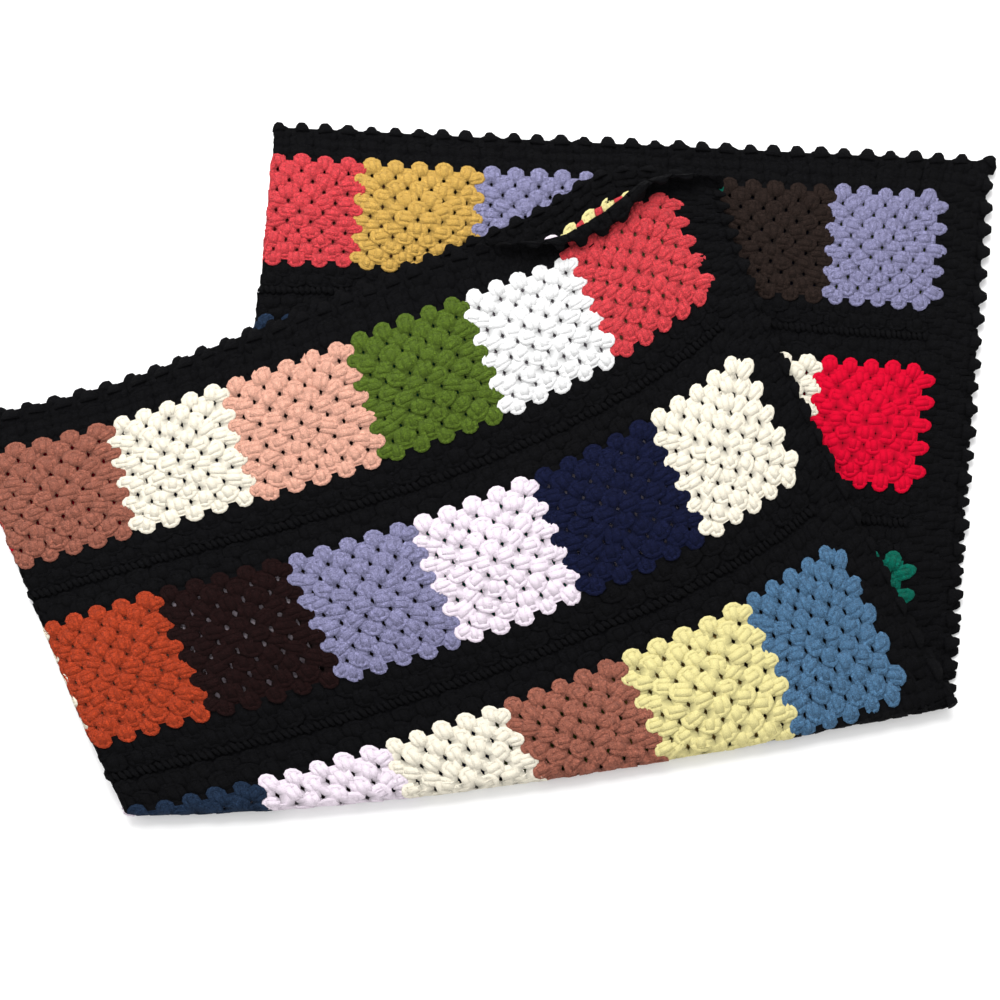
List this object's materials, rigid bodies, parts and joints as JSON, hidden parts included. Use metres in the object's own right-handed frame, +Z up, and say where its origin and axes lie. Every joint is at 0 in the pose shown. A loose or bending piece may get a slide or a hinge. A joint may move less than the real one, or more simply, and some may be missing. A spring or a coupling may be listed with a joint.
{
  "type": "granny square blanket, folded",
  "caption": "Crocheted granny square blanket with black bands and a picot border, folded in half and then folded over at a slant, lying flat.",
  "frame": {"origin": "middle of the folded blanket's footprint, on the surface that it lies on", "axes": "+X along the folded blanket's long side, from the first fold towards the free ends; +Y from the slanting second fold towards the top edge; +Z up, out of the surface"},
  "size_m": [1.102, 0.7392, 0.0414],
  "materials": {
    "black_yarn": "matte crocheted yarn"
  },
  "bodies": {
    "root": {"blanket": "black_yarn"}
  },
  "joints": []
}
